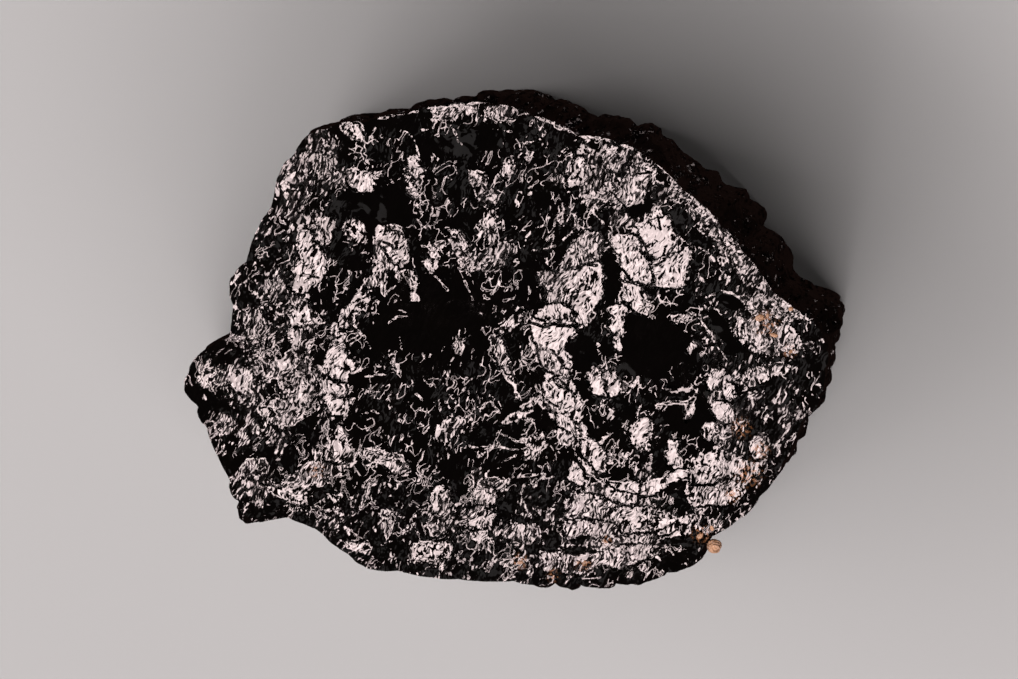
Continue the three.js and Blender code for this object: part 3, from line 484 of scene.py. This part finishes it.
class HeightMap:
    """The heights of the solid's upper (up=1) or lower (up=-1) end, read on a square grid."""

    def __init__(self, tree, border, up, distance):
        count = int(2 * GRID_REACH / GRID_STEP) + 1
        places = np.linspace(-GRID_REACH, GRID_REACH, count)
        grid = np.full((count, count), np.nan)
        bearings, radii, _ = border
        far = up * RAY_START
        for row, y in enumerate(places):
            for column, x in enumerate(places):
                edge = round_interp(math.atan2(y, x), bearings, radii)
                if math.hypot(x, y) < edge - 0.1:
                    hit = tree.ray_cast(Vector((x, y, far)), Vector((0, 0, -up)))[0]
                    grid[row, column] = hit.z
        known = ~np.isnan(grid)
        self.grid = soften(np.where(known, grid, 0), known, distance)
        self.slope_north, self.slope_east = np.gradient(self.grid, places[1] - places[0])

    def _sample(self, values, x, y):
        last = values.shape[0] - 2
        u, v = (
            np.clip((place + GRID_REACH) / (2 * GRID_REACH) * (last + 1), 0, last + 0.999)
            for place in (x, y)
        )
        i, j = u.astype(int), v.astype(int)
        low = mix(values[j, i], values[j, i + 1], u - i)
        high = mix(values[j + 1, i], values[j + 1, i + 1], u - i)
        return mix(low, high, v - j)

    def height(self, x, y):
        return self._sample(self.grid, x, y)

    def slopes(self, x, y):
        return self._sample(self.slope_east, x, y), self._sample(self.slope_north, x, y)


def side_radii(tree, bearings, heights):
    """How far the solid's side lies from the axis, at each bearing and height."""
    radii = []
    for bearing, z in zip(bearings, heights):
        out = Vector((math.cos(bearing), math.sin(bearing), 0))
        hit = tree.ray_cast(out * SIDE_RAY_START + Vector((0, 0, z)), -out)[0]
        radii.append(hit.xy.length if hit else math.nan)
    return np.array(radii)


# ---- The relief of the fracture face ----
def ellipse(x, y, feature):
    turn = math.radians(feature.turn)
    dx, dy = x - feature.x, y - feature.y
    along = (dx * math.cos(turn) + dy * math.sin(turn)) / feature.long
    across = (dy * math.cos(turn) - dx * math.sin(turn)) / feature.wide
    return along**2 + across**2


SHELL_SIZES = ((3.4, 0.14, 0.9), (1.6, 0.04, 0.6))  # size, height, warp
LEDGE_SIZES = ((1.5, 0.10), (0.7, 0.13))  # size, share of the lean that they take up
FLAKE_LEAN = 0.81  # the share of the lean left to the flakes of the material
WRINKLE_SIZE, WRINKLE_HEIGHT, WRINKLE_WIDTH = 2.6, 0.05, 0.07
HACKLE_SIZE, HACKLE_HEIGHT = 0.9, 0.12  # where the ground is hackly
PLAIN_HACKLE = 0.12  # how hackly the ground is outside all zones
FLANK_HACKLE = 1.9  # and the sides, which the material tells from the face by it
LEVELLING = 0.7  # how far plain ground is broken into level chips
FACET_RISE = 0.35  # the most that a facet stands above or below the ground
FACET_SPREAD = 0.12  # how far it reaches past its drawn outline
FACET_HACKLE = (0.08, 0.25)  # its hackle where its row says 0, and what a 1 there adds


def ground_settings(x, y, warp_x, warp_y):
    """How hackly and how broken up the ground is, and the slope that its chips lean at."""
    hackle = np.full(x.shape, PLAIN_HACKLE)
    busy = np.full(x.shape, LEVELLING)
    lean_x, lean_y = np.zeros(x.shape), np.zeros(x.shape)
    for zone in ZONES:
        part = smooth(1.3, 0.8, ellipse(x, y, zone) + 0.8 * warp_x)
        down = math.radians(zone.down)
        lean_x = mix(lean_x, -zone.slope * math.cos(down), part)
        lean_y = mix(lean_y, -zone.slope * math.sin(down), part)
        busy = mix(busy, 1.0, part)
        hackle = mix(hackle, zone.hackle, part)
    hackle = hackle * np.maximum(0.2, 0.95 + 0.9 * clouds(x / 2.6, y / 2.6, 77, 2))
    for pocket in POCKETS:
        quiet = smooth(0.5, 1.4, ellipse(x, y, pocket) + 0.5 * warp_y)
        hackle = hackle * quiet
        busy = busy * quiet
    return hackle, busy, lean_x, lean_y


def lay_facets(x, y, ground, warp_x, warp_y, z, hackle, lean_x, lean_y):
    """Sets the drawn facets into z, hackle and the leans, in place."""
    east_slope, north_slope = ground.slopes(x, y)
    for n, facet in enumerate(FACETS):
        near = points_near(x, y, facet.outline)
        px, py = x[near], y[near]
        inside = inside_distance(px + 0.13 * warp_x[near], py + 0.13 * warp_y[near], facet.outline)
        inside = inside + 0.10 * clouds(px / 0.45, py / 0.45, 500 + n, 3)
        flat = smooth(-0.05, 0.05, inside + FACET_SPREAD)

        outline = np.array(facet.outline)
        middle = outline.mean(0)
        down = math.radians(facet.down)
        slope = -facet.slope * np.array([math.cos(down), math.sin(down)])
        change = slope - ground.slopes(*middle)
        change = change * min(1, FACET_RISE / np.abs((outline - middle) @ change).max())
        high = ground.height(px, py) + (px - middle[0]) * change[0] + (py - middle[1]) * change[1]
        high = high + 0.05 * noise(px / 1.1, py / 1.1, 600 + n)
        z[near] = mix(z[near], high, flat)
        hackle[near] = mix(hackle[near], FACET_HACKLE[0] + FACET_HACKLE[1] * facet.hackle, flat)
        rest = (slope - change)[:, None] - np.array([east_slope[near], north_slope[near]])
        lean_x[near] = mix(lean_x[near], rest[0], flat)
        lean_y[near] = mix(lean_y[near], rest[1], flat)


def face_relief(x, y, ground):
    """Height of the fracture face, how hackly it is, and the lean left to its small flakes."""
    east_slope, north_slope = ground.slopes(x, y)
    warp_x = clouds(x / 2.2, y / 2.2, 901, 4)
    warp_y = clouds(x / 2.2, y / 2.2, 955, 4)
    hackle, busy, lean_x, lean_y = ground_settings(x, y, warp_x, warp_y)
    lean_x = busy * (lean_x - east_slope)
    lean_y = busy * (lean_y - north_slope)

    z = ground.height(x, y)
    for n, (size, high, warp) in enumerate(SHELL_SIZES):
        chips = shells((x + warp * warp_x) / size, (y + warp * warp_y) / size, 21 + n, 0.7)
        z = z + high * chips * (1 - 0.4 * busy)
    for n, (size, share) in enumerate(LEDGE_SIZES):
        u, v = x / size * 1.3, y / size * 1.3
        shift_x = 0.35 * size * clouds(u, v, 66 + n, 3) + 0.2 * warp_x
        shift_y = 0.35 * size * clouds(u, v, 68 + n, 3) + 0.2 * warp_y
        east, north, number = nearest_cell((x + shift_x) / size, (y + shift_y) / size, 61 + n, 0.85)
        z = z + share * size * (lean_x * east + lean_y * north) * (0.6 + 0.9 * number)
    lean_x, lean_y = FLAKE_LEAN * lean_x, FLAKE_LEAN * lean_y

    size = WRINKLE_SIZE
    line = clouds((x + 0.5 * warp_x) / size, (y + 0.5 * warp_y) / size, 300, 2)
    here = smooth(0.0, 0.5, clouds(x / size * 0.6, y / size * 0.6, 340, 2))
    z = z + WRINKLE_HEIGHT * np.exp(-np.abs(line) / WRINKLE_WIDTH) * here

    lay_facets(x, y, ground, warp_x, warp_y, z, hackle, lean_x, lean_y)

    size = HACKLE_SIZE
    u, v = x / size * 0.7, y / size * 0.7
    shift_x = size * 0.7 * warp_x + 0.5 * size * clouds(u, v, 40, 2)
    shift_y = 0.5 * size * clouds(u, v, 130, 2)
    z = z + hackle * HACKLE_HEIGHT * shells((x + shift_x) / size, (y + shift_y) / size, 31, 1.2)
    return z, hackle, np.column_stack([lean_x, lean_y, np.zeros(len(x))])


# ---- The relief of the ribbed side ----
RIB_SIZES = ((2.2, 0.16), (1.0, 0.13), (0.5, 0.07))  # size round the prism, height


def side_relief(x, y, z):
    """How far fine ribs stand proud of the side at a point; they run up it with little change."""
    proud = 0
    for n, (size, high) in enumerate(RIB_SIZES):
        proud = proud + high * noise(x / size + 0.02 * z, y / size, 700 + n)
    return proud + 0.10 * noise(np.arctan2(y, x) * 9, z / 5, 710)


# ---- The crystal's mesh ----
class Skin:
    """Points and triangles, sewn ring to ring."""

    def __init__(self):
        self.points = []
        self.faces = []
        self.count = 0

    def add_ring(self, x, y, z):
        self.points.append(np.column_stack([x, y, z]))
        ring = np.arange(self.count, self.count + len(x))
        self.count += len(x)
        return ring

    def sew(self, inner, outer, flip=False):
        a, b = len(inner), len(outer)
        j = np.arange(b)
        i = np.arange(a)
        to_inner = inner[((a * (j + 1) - 1) // b) % a]
        to_outer = outer[(b * (i + 1) // a) % b]
        out = np.column_stack([to_inner, outer, np.roll(outer, -1)])
        back = np.column_stack([inner, to_outer, np.roll(inner, -1)])
        faces = np.vstack([out, back])
        self.faces.append(faces[:, ::-1] if flip else faces)

    def fan(self, centre, ring, flip=False):
        faces = np.column_stack([np.full(len(ring), centre), ring, np.roll(ring, -1)])
        self.faces.append(faces[:, ::-1] if flip else faces)


def circle(count):
    """Bearings of this many points, evenly round the axis."""
    return np.arange(count) / count * 2 * math.pi


def ring_places(n, rings, stations, turn, radius):
    """Ring n of this many: the outermost, whose radii at turn are given, drawn in evenly."""
    around = circle(max(6, round(stations * n / rings)))
    radius = round_interp(around, turn, radius) * n / rings
    return radius * np.cos(around), radius * np.sin(around)


def build_crystal():
    points, faces = read_solid("schorl_crystal")
    tree = BVHTree.FromPolygons(points.tolist(), faces.tolist())
    rim = end_border(points, faces, 1)
    foot = end_border(points, faces, -1)
    top = HeightMap(tree, rim, 1, FACE_SOFTEN)
    bottom = HeightMap(tree, foot, -1, RIB_SOFTEN)

    skin = Skin()
    turn = circle(STATIONS)
    rim_radius = round_interp(turn, rim[0], rim[1])
    rim_x, rim_y = rim_radius * np.cos(turn), rim_radius * np.sin(turn)
    rim_radius = rim_radius + RIM_RIBS * side_relief(rim_x, rim_y, RIM_HEIGHT) - RIM_INSET

    # the fracture face, ring by ring from the middle
    places = [(np.zeros(1), np.zeros(1))]
    for n in range(1, FACE_RINGS + 1):
        places.append(ring_places(n, FACE_RINGS, STATIONS, turn, rim_radius))
    x, y = np.hstack(places)
    z, hackle, lean = face_relief(x, y, top)
    ends = np.cumsum([len(ring[0]) for ring in places])
    rings = np.split(skin.add_ring(x, y, z), ends[:-1])
    skin.fan(rings[0][0], rings[1])
    for inner, outer in zip(rings[1:], rings[2:]):
        skin.sew(inner, outer)
    rim_ring, rim_z = rings[-1], z[-STATIONS:]

    # the side, from the rim down to the foot
    rim_low = round_interp(turn, rim[0], rim[2])
    foot_z = round_interp(turn, foot[0], foot[2])
    foot_radius = round_interp(turn, foot[0], foot[1])
    above = rim_ring
    for share in SIDE_SHARES[-2::-1]:
        level = mix(foot_z, rim_z, share)
        if share == 0:
            radius = foot_radius
        else:
            radius = side_radii(tree, turn, np.clip(level, foot_z + 0.05, rim_low - 0.3))
            radius = np.where(np.isnan(radius), rim_radius, radius)
        x, y = radius * np.cos(turn), radius * np.sin(turn)
        # near the rim the ribs fade out and the side turns in to meet it
        ribs = side_relief(x, y, level) * (1 - 0.75 * smooth(0.93, 1.0, share))
        radius = mix(radius + ribs, rim_radius, 0.8 * smooth(0.9, 1.0, share))
        below = skin.add_ring(radius * np.cos(turn), radius * np.sin(turn), level)
        skin.sew(above, below)
        above = below

    # the base, from the foot in to the middle
    for n in range(BASE_RINGS - 1, 0, -1):
        x, y = ring_places(n, BASE_RINGS, BASE_STATIONS, turn, foot_radius)
        clear = smooth(CONTACT_RADIUS, CONTACT_RADIUS + CONTACT_FADE, np.hypot(x, y))
        rough = 0.5 * (0.3 + shells(x / 2.6, y / 2.6, 81, 1.0))
        z = np.maximum(0, bottom.height(x, y)) * clear + np.maximum(0, clear * rough)
        ring = skin.add_ring(x, y, z)
        skin.sew(ring, above, flip=True)
        above = ring
    middle = skin.add_ring([0], [0], [0])
    skin.fan(middle[0], above, flip=True)

    # what the material reads at each point; the fracture face comes first
    pad = skin.count - len(hackle)
    x, y = np.vstack(skin.points)[: len(hackle), :2].T
    thread = nearest_line(x, y, THREADS)
    crack = nearest_line(x, y, CRACKS)
    stain = np.zeros(len(x))
    for spot in STAINS:
        near = smooth(spot.reach, 0.3 * spot.reach, np.hypot(x - spot.x, y - spot.y))
        stain = np.maximum(stain, near)
    masks = {}
    for name, values, rest in (("stain", stain, 0), ("thread", thread, 1), ("crack", crack, 1),
                               ("hackle", hackle, FLANK_HACKLE), ("lean", lean, 0)):
        masks[name] = np.concatenate([values, np.full((pad, *values.shape[1:]), rest)])
    return skin, masks, top


def add_object(name, data):
    thing = bpy.data.objects.new(name, data)
    bpy.context.scene.collection.objects.link(thing)
    return thing


def add_piece(name, points, faces, material, masks=None):
    """A mesh object from points in millimetres from the axis."""
    mesh = bpy.data.meshes.new(name)
    placed = (points + np.array([*AXIS, 0])) * MM
    mesh.from_pydata(placed.tolist(), [], faces.tolist())
    for mask, values in (masks or {}).items():
        kind, key = ("FLOAT", "value") if values.ndim == 1 else ("FLOAT_VECTOR", "vector")
        mesh.attributes.new(mask, kind, "POINT").data.foreach_set(key, values.ravel())
    mesh.materials.append(material)
    mesh.shade_smooth()
    mesh.set_sharp_from_angle(angle=CREASE)
    return add_object(name, mesh)


# ---- Materials ----
class Nodes:
    """Short ways to add and join shader nodes."""

    def __init__(self, name):
        self.material = bpy.data.materials.new(name)
        self.material.use_nodes = True
        self.tree = self.material.node_tree
        self.shader = self.tree.nodes["Principled BSDF"]

    def add(self, kind, settings, *values, **inputs):
        """A new node, with values on its first sockets and inputs on named ones."""
        node = self.tree.nodes.new("ShaderNode" + kind)
        for key, value in settings.items():
            setattr(node, key, value)
        for key, value in [*enumerate(values), *inputs.items()]:
            self.feed(node, key, value)
        return node

    def feed(self, node, key, value):
        socket = node.inputs[key if isinstance(key, int) else key.replace("_", " ")]
        if isinstance(value, bpy.types.NodeSocket):
            self.tree.links.new(value, socket)
        else:
            socket.default_value = value

    def finish(self, **inputs):
        """The material, with these inputs on its shader."""
        for key, value in inputs.items():
            self.feed(self.shader, key, value)
        return self.material

    def math(self, operation, first, second=0.0, clamp=False):
        settings = {"operation": operation, "use_clamp": clamp}
        return self.add("Math", settings, first, second).outputs[0]

    def vector(self, operation, *values):
        node = self.add("VectorMath", {"operation": operation}, *values)
        return node.outputs["Value" if operation == "DOT_PRODUCT" else "Vector"]

    def scaled(self, vector, share):
        node = self.add("VectorMath", {"operation": "SCALE"}, vector, Scale=share)
        return node.outputs["Vector"]

    def blend(self, first, second, share):
        """Vectors mixed: first where share is 0, second where it is 1."""
        return self.vector("ADD", first, self.scaled(self.vector("SUBTRACT", second, first), share))

    def mix_color(self, share, first, second):
        node = self.add("Mix", {"data_type": "RGBA"}, share)
        self.feed(node, 6, first)
        self.feed(node, 7, second)
        return node.outputs[2]

    def ramp(self, value, low, high, start=0.0, end=1.0):
        """value from low..high becomes start..end."""
        return self.add("MapRange", {}, value, low, high, start, end).outputs["Result"]

    def mask(self, name, output="Fac"):
        return self.add("Attribute", {"attribute_name": name}).outputs[output]

    def place(self):
        """Object coordinates in millimetres."""
        return self.scaled(self.add("TexCoord", {}).outputs["Object"], 1 / MM)

    def stretched(self, vector, stretch, turn):
        """Coordinates stretched along axes that are turned about the vertical."""
        kind = {"vector_type": "TEXTURE"}
        turn = (0, 0, math.radians(turn))
        return self.add("Mapping", kind, vector, Rotation=turn, Scale=stretch).outputs[0]

    def texture(self, vector, scale, detail):
        return self.add("TexNoise", {}, vector, Scale=scale, Detail=detail)

    def noise(self, vector, scale, detail):
        return self.texture(vector, scale, detail).outputs["Fac"]

    def warp(self, vector, scale, amount):
        """vector pushed about by noise."""
        push = self.texture(vector, scale, 2.0).outputs["Color"]
        push = self.vector("SUBTRACT", push, (0.5, 0.5, 0.5))
        return self.vector("MULTIPLY_ADD", push, (amount, amount, amount), vector)

    def tilts(self, vector, size, lean):
        """Slopes of flat chips of this size: each leans its own way, and most of them little."""
        cell = self.add("TexVoronoi", {}, vector, Scale=1 / size)
        each = self.vector("SUBTRACT", cell.outputs["Color"], (0.5, 0.5, 0.5))
        return self.scaled(self.vector("MULTIPLY", each, self.vector("ABSOLUTE", each)), 4 * lean)

    def ridges(self, vector, size, full, none):
        """Thin curved lines: 1 where a noise of this size is within full of its middle."""
        field = self.math("SUBTRACT", self.noise(vector, 1 / size, 1.0), 0.5)
        return self.ramp(self.math("ABSOLUTE", field), full, none, 1.0, 0.0)

    def bump(self, height, strength, distance, **inputs):
        settings = {"Height": height, "Strength": strength, "Distance": distance * MM}
        return self.add("Bump", {}, **settings, **inputs).outputs["Normal"]


GRAIN_TURN = 62  # bearing of the long flakes, in degrees
FLAKES, FLAKE_STRETCH = (0.35, 0.72), (3.2, 1, 3)  # size and tilt, and the size along each axis
STREAKS, STREAK_STRETCH, STREAK_TURN = (0.15, 0.9), (3.2, 1, 3.2), 70
STRIAE, STRIA_STRETCH = ((0.8, 0.5), (0.25, 0.5)), (1, 1, 12)
WISPS = ((1.7, 0.004, 0.015), (0.9, 0.006, 0.022))  # size, and the noise at their core and edge
SLIVER_LEAN = (0.30, 0.27, 0.0)  # thin slivers face down towards the south-west
THREAD_WIDTHS = (0.03, 0.15)  # half widths of the drawn threads, at their thinnest and widest
CRACK_WIDTH, CRACK_DEPTH = 0.13, 0.2
SCHORL_IOR = 1.64
FELDSPAR_IOR = 1.53
GLASS_BLACK, GLASS_BROWNISH = (0.0004, 0.0004, 0.0004, 1), (0.0010, 0.0009, 0.0008, 1)
RUST = (0.12, 0.055, 0.02, 1)
FELDSPAR_DARK, FELDSPAR_PALE = (0.085, 0.046, 0.02, 1), (0.235, 0.142, 0.075, 1)
FLOOR_GREY = (0.22, 0.255, 0.258, 1)


def chip_slopes(made, place, hackle):
    """Slopes of the smallest chips: long flakes on the face, lengthwise striae on the sides."""
    flakes = made.stretched(made.warp(place, 0.15, 3.0), FLAKE_STRETCH, GRAIN_TURN)
    flakes = made.tilts(made.warp(flakes, 0.9, 0.35), *FLAKES)
    streaks = made.stretched(made.warp(place, 0.35, 3.0), STREAK_STRETCH, STREAK_TURN)
    streaks = made.tilts(made.warp(streaks, 1.6, 0.2), *STREAKS)
    chips = made.vector("ADD", flakes, streaks)
    upright = made.stretched(made.warp(place, 0.3, 0.8), STRIA_STRETCH, 0)
    striae = made.vector("ADD", *(made.tilts(upright, *settings) for settings in STRIAE))
    striae = made.vector("MULTIPLY", striae, (1, 1, 0.6))
    striae = made.vector("ADD", striae, made.scaled(chips, 0.15))
    return made.blend(chips, striae, made.ramp(hackle, 0.8, 0.9))


def slivers(made, place, hackle):
    """1 on thin slivers of glass: the drawn threads, and wisps in clumps on the smooth ground."""
    curls = made.stretched(made.warp(place, 0.5, 1.2), (1.7, 1, 1), GRAIN_TURN)
    wisps = made.math("ADD", *(made.ridges(curls, *settings) for settings in WISPS))
    clumps = made.ramp(made.noise(place, 0.45, 3.0), 0.49, 0.51)
    for share in (clumps, made.ramp(hackle, 0.04, 0.08), made.ramp(hackle, 0.2, 0.26, 1.0, 0.0)):
        wisps = made.math("MULTIPLY", wisps, share)
    width = made.ramp(made.noise(place, 1.1, 2.0), 0.35, 0.65, *THREAD_WIDTHS)
    threads = made.ramp(made.math("SUBTRACT", width, made.mask("thread")), 0.0, 0.03)
    return made.math("MAXIMUM", wisps, threads, clamp=True)


def black_schorl():
    made = Nodes("black_schorl")
    hackle = made.mask("hackle")
    place = made.place()

    # chips and slivers tilt the mesh's own normal
    chips = chip_slopes(made, place, hackle)
    lean = made.vector("ADD", made.scaled(chips, hackle), made.mask("lean", "Vector"))
    aside = made.vector("ADD", made.scaled(chips, 0.25), SLIVER_LEAN)
    lean = made.blend(lean, aside, slivers(made, place, hackle))
    smooth_normal = made.add("NewGeometry", {}).outputs["Normal"]
    chipped = made.vector("NORMALIZE", made.vector("SUBTRACT", smooth_normal, lean))
    crack = made.ramp(made.mask("crack"), 0.0, CRACK_WIDTH, -CRACK_DEPTH, 0.0)
    normal = made.bump(crack, 1.0, 1.0, Normal=chipped)

    # colour and roughness, with rust where the face is stained
    rust = made.ramp(made.noise(place, 3.6, 3.0), 0.52, 0.60)
    rust = made.math("MULTIPLY", made.mask("stain"), rust)
    shade = made.mix_color(made.noise(place, 0.35, 4.0), GLASS_BLACK, GLASS_BROWNISH)
    shade = made.mix_color(rust, shade, RUST)
    uneven = made.ramp(made.vector("DOT_PRODUCT", chips, (0, 0, 1)), -0.1, 0.3, 0.03, 0.08)
    rough = made.math("ADD", made.ramp(hackle, 0.22, 0.42, 0.0, 0.13), uneven)
    rough = made.math("ADD", rough, made.math("MULTIPLY", rust, 0.3))
    return made.finish(Base_Color=shade, Roughness=rough, Normal=normal, IOR=SCHORL_IOR)


def tan_feldspar():
    made = Nodes("tan_feldspar")
    place = made.place()
    stain = made.noise(place, 1.6, 4.0)
    shade = made.mix_color(made.ramp(stain, 0.35, 0.65), FELDSPAR_DARK, FELDSPAR_PALE)
    rough = made.ramp(stain, 0.3, 0.7, 0.35, 0.7)
    normal = made.bump(made.noise(place, 5.0, 4.0), 0.6, 0.1)
    return made.finish(Base_Color=shade, Roughness=rough, Normal=normal, IOR=FELDSPAR_IOR)


def plain_floor():
    return Nodes("floor").finish(Base_Color=FLOOR_GREY, Roughness=1.0, Specular_IOR_Level=0.0)


# ---- Grains ----
# Small grains sunk in the face and the rim: centre, size, length over width, turn, and how far
# they stand above the surface as a share of the size.
Grain = namedtuple("Grain", "x y size stretch turn proud")
GRAINS = features("""
21.8 1.6 .42 1.2 20 .2; 23.1 0 .32 1.8 160 .1; 22.5 1.8 .22 1.3 70 .1; 24.6 2.4 .25 1.2 0 .1;
24.6 -1.5 .22 1.4 40 .1; 16.4 -18.4 .32 1.3 30 .1; 17.5 -17.6 .28 1.5 120 .1; 0 -21 .28 1.6 10 .1;
5.8 -21 .22 1.8 80 .1
""", Grain)


def lumpy(centre, half, turn, seed, detail=3):
    """Points and triangles of a lumpy, slightly blocky grain."""
    bm = bmesh.new()
    bmesh.ops.create_icosphere(bm, subdivisions=detail, radius=1)
    unit = np.array([v.co for v in bm.verts])
    faces = np.array([[v.index for v in f.verts] for f in bm.faces])
    bm.free()
    blocky = unit / np.maximum(np.abs(unit).max(1, keepdims=True), 1e-6)
    dents = clouds(unit[:, 0] * 1.6 + 3 * unit[:, 2], unit[:, 1] * 1.6 - 2 * unit[:, 2], seed, 3)
    swell = np.minimum(1.04, 0.94 + 0.22 * dents)
    shape = mix(unit, blocky * 0.85, 0.15) * swell[:, None] * half
    angle = math.radians(turn)
    east = shape[:, 0] * math.cos(angle) - shape[:, 1] * math.sin(angle)
    north = shape[:, 0] * math.sin(angle) + shape[:, 1] * math.cos(angle)
    return np.column_stack([east, north, shape[:, 2]]) + centre, faces


def build_grains(top, material):
    all_points, all_faces, count = [], [], 0
    for n, grain in enumerate(GRAINS):
        surface = face_relief(np.array([grain.x]), np.array([grain.y]), top)[0][0]
        width = grain.size / grain.stretch**0.5
        half = np.array([width * grain.stretch, width, 0.8 * width])
        middle = (grain.x, grain.y, surface - half[2] * (0.6 - grain.proud))
        points, faces = lumpy(middle, half, grain.turn, 900 + n)
        all_points.append(points)
        all_faces.append(faces + count)
        count += len(points)
    return add_piece("iron_stained_grains", np.vstack(all_points), np.vstack(all_faces), material)


def build_feldspar(material):
    low, high = (np.array(corner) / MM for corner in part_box("feldspar_grain"))
    middle = (low + high) / 2 - np.array([*AXIS, 0])
    half = (high - low) / 2
    points, faces = lumpy(middle, half, 0, 950, detail=5)
    return add_piece("feldspar_grain_surface", points, faces, material)


black = black_schorl()
tan = tan_feldspar()
skin, masks, top = build_crystal()
crystal = add_piece("crystal_surface", np.vstack(skin.points), np.vstack(skin.faces), black, masks)
feldspar = build_feldspar(tan)
grains = build_grains(top, tan)

for piece in (crystal, feldspar, grains):
    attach(piece, "root")
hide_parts("schorl_crystal")
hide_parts("feldspar_grain")


# ---- Floor, lights and camera ----
def add_floor():
    mesh = bpy.data.meshes.new("floor")
    reach = 1.5  # metres
    corners = [(-reach, -reach, 0), (reach, -reach, 0), (reach, reach, 0), (-reach, reach, 0)]
    mesh.from_pydata(corners, [], [(0, 1, 2, 3)])
    mesh.materials.append(plain_floor())
    floor = add_object("floor", mesh)
    floor.visible_glossy = False  # the glass mirrors the dark room, not the floor


GRID_ANGLE = math.radians(42)  # the light's grid lets out nothing beyond this angle
LIT_POINT = Vector((0, 0, 0.034))  # the middle of the fracture face
LIGHT_DISTANCE = 0.9
PINKISH = (1.0, 0.81, 0.795)
PALE = (1.0, 0.93, 0.92)
ROOM = (0.010, 0.005, 0.004, 1)


def add_softbox(name, bearing, height, half_width, half_height, radiance, color):
    """A rectangular light that spans these half angles as the crystal sees it, in degrees.

    Its grid makes it dimmer towards its edges; radiance is that of its middle.
    """
    turn, rise = math.radians(bearing), math.radians(height)
    level = math.cos(rise)
    away = Vector((math.cos(turn) * level, math.sin(turn) * level, math.sin(rise)))
    light = bpy.data.lights.new(name, "AREA")
    light.shape = "RECTANGLE"
    light.size = 2 * LIGHT_DISTANCE * math.tan(math.radians(half_width))
    light.size_y = 2 * LIGHT_DISTANCE * math.tan(math.radians(half_height))
    light.spread = 2 * GRID_ANGLE
    gathered = 1 - GRID_ANGLE / math.tan(GRID_ANGLE)
    light.energy = radiance * gathered * math.pi * light.size * light.size_y
    light.color = color
    lamp = add_object(name, light)
    lamp.location = LIT_POINT + LIGHT_DISTANCE * away
    lamp.rotation_euler = (-away).to_track_quat("-Z", "Y").to_euler()


add_floor()
add_softbox("west_softbox", 186, 47, 24, 13, 13.2, PINKISH)
add_softbox("south_west_softbox", 238, 47, 24, 13, 16.2, PINKISH)
add_softbox("south_softbox", 290, 46, 24, 13, 13.0, PINKISH)
add_softbox("low_fill", 45, 14, 30, 9, 4.0, PINKISH)
add_softbox("overhead_fill", 50, 76, 12, 9, 0.32, PALE)

world = bpy.data.worlds.new("studio")
world.use_nodes = True
world.node_tree.nodes["Background"].inputs["Color"].default_value = ROOM
bpy.context.scene.world = world
bpy.context.scene.view_settings.view_transform = "Standard"

# The photograph looks down at the fracture face, leaning a little from the east and the north.
IMAGE_WIDTH = 1018  # pixels
AIM = Vector((0.579, 1.064, 34.5)) * MM  # what the middle of the picture shows
LEAN = math.radians(4.3)
DISTANCE = 500 * MM
PIXELS_PER_MM = 11.0
SENSOR = 36.0

camera = bpy.data.cameras.new("camera")
camera.sensor_width = SENSOR
camera.lens = PIXELS_PER_MM * (DISTANCE / MM) * SENSOR / IMAGE_WIDTH
eye = add_object("camera", camera)
away = Vector((math.tan(LEAN), math.tan(LEAN), 1)).normalized()
eye.location = AIM + DISTANCE * away
right = away.cross(Vector((0, -1, 0))).normalized()
eye.rotation_euler = Matrix((right, away.cross(right), away)).transposed().to_euler()
bpy.context.scene.camera = eye
